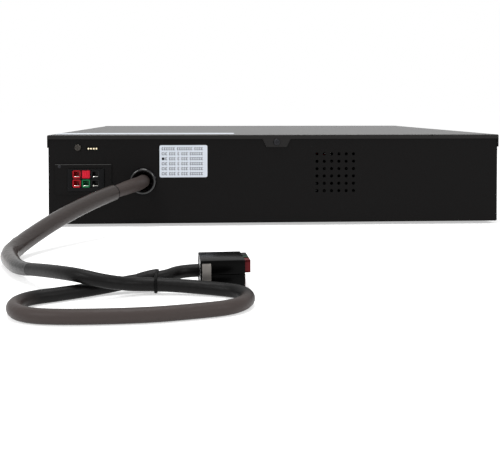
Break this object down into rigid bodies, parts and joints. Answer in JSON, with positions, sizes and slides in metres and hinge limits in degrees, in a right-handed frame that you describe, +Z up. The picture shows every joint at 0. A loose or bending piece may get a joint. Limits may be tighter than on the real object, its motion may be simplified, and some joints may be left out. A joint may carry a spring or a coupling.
{
  "type": "ups battery cartridge",
  "caption": "Low black steel battery pack for a rack-size UPS, with a keyed multi-pole socket in its rear panel and a sleeved output lead ending in a matching plug.",
  "frame": {"origin": "under the middle of the case, on the plane of the rubber feet", "axes": "+Z up; the rear panel with the socket and the lead faces -Y; +X is to the right of someone who looks at the rear panel"},
  "size_m": [0.4396, 0.7382, 0.0882],
  "materials": {
    "black_steel": "matt",
    "black_screw": "satin",
    "bezel_plastic": "matt",
    "foot_rubber": "matt",
    "nickel_steel": "gloss",
    "socket_plastic": "satin",
    "red_plastic": "satin",
    "green_plastic": "satin",
    "black_plastic": "satin",
    "silver_contact": "gloss",
    "circuit_board": "satin",
    "brass_part": "satin",
    "gilt_pin": "gloss",
    "label_paper": "satin",
    "bushing_plastic": "gloss",
    "cord_rubber": "satin",
    "sleeve_plastic": "satin",
    "tie_nylon": "satin",
    "clamp_steel": "satin",
    "battery_case": "matt",
    "tinned_tab": "satin",
    "zinc_steel": "satin",
    "nylon_strip": "satin",
    "grey_foam": "matt",
    "block_plastic": "matt",
    "fuse_ceramic": "satin",
    "red_wire": "satin",
    "black_wire": "satin",
    "green_wire": "satin"
  },
  "bodies": {
    "root": {"base_tray": "black_steel", "rear_panel": "black_steel", "top_cover": "black_steel", "socket_plate": "black_steel", "plate_rivets": "black_steel", "cover_tab_screw": "black_screw", "cover_side_screws": "black_screw", "front_bezel": "bezel_plastic", "rubber_feet": "foot_rubber", "board_screw": "nickel_steel", "bar_screws": "nickel_steel", "cartridge_screws": "nickel_steel", "socket_frame": "socket_plastic", "pin_header": "socket_plastic", "red_pole_upper": "red_plastic", "red_pole_lower": "red_plastic", "red_blank_pole": "red_plastic", "plug_red_poles": "red_plastic", "green_pole": "green_plastic", "plug_green_pole": "green_plastic", "black_pole_upper": "black_plastic", "black_pole_lower": "black_plastic", "plug_black_poles": "black_plastic", "plug_shell_upper": "black_plastic", "plug_shell_lower": "black_plastic", "pole_contacts": "silver_contact", "detect_board": "circuit_board", "board_spacer": "brass_part", "battery_bar": "brass_part", "output_bar": "brass_part", "negative_bar": "brass_part", "header_pins": "gilt_pin", "spec_label": "label_paper", "cover_label": "label_paper", "cable_bushing": "bushing_plastic", "cable_inner": "cord_rubber", "cable_neck": "cord_rubber", "cable_tail": "cord_rubber", "cable_sleeve": "sleeve_plastic", "zip_tie": "tie_nylon", "plug_cable_clamp": "clamp_steel", "battery_1": "battery_case", "battery_2": "battery_case", "battery_3": "battery_case", "battery_4": "battery_case", "battery_5": "battery_case", "battery_6": "battery_case", "battery_terminals": "tinned_tab", "cartridge_tray_left": "zinc_steel", "cartridge_tray_right": "zinc_steel", "cartridge_handles": "zinc_steel", "glide_strips": "nylon_strip", "foam_pads": "grey_foam", "busbar_block": "block_plastic", "main_fuse": "fuse_ceramic", "red_leads": "red_wire", "black_leads": "black_wire", "series_jumpers": "black_wire", "green_lead": "green_wire"}
  },
  "joints": []
}
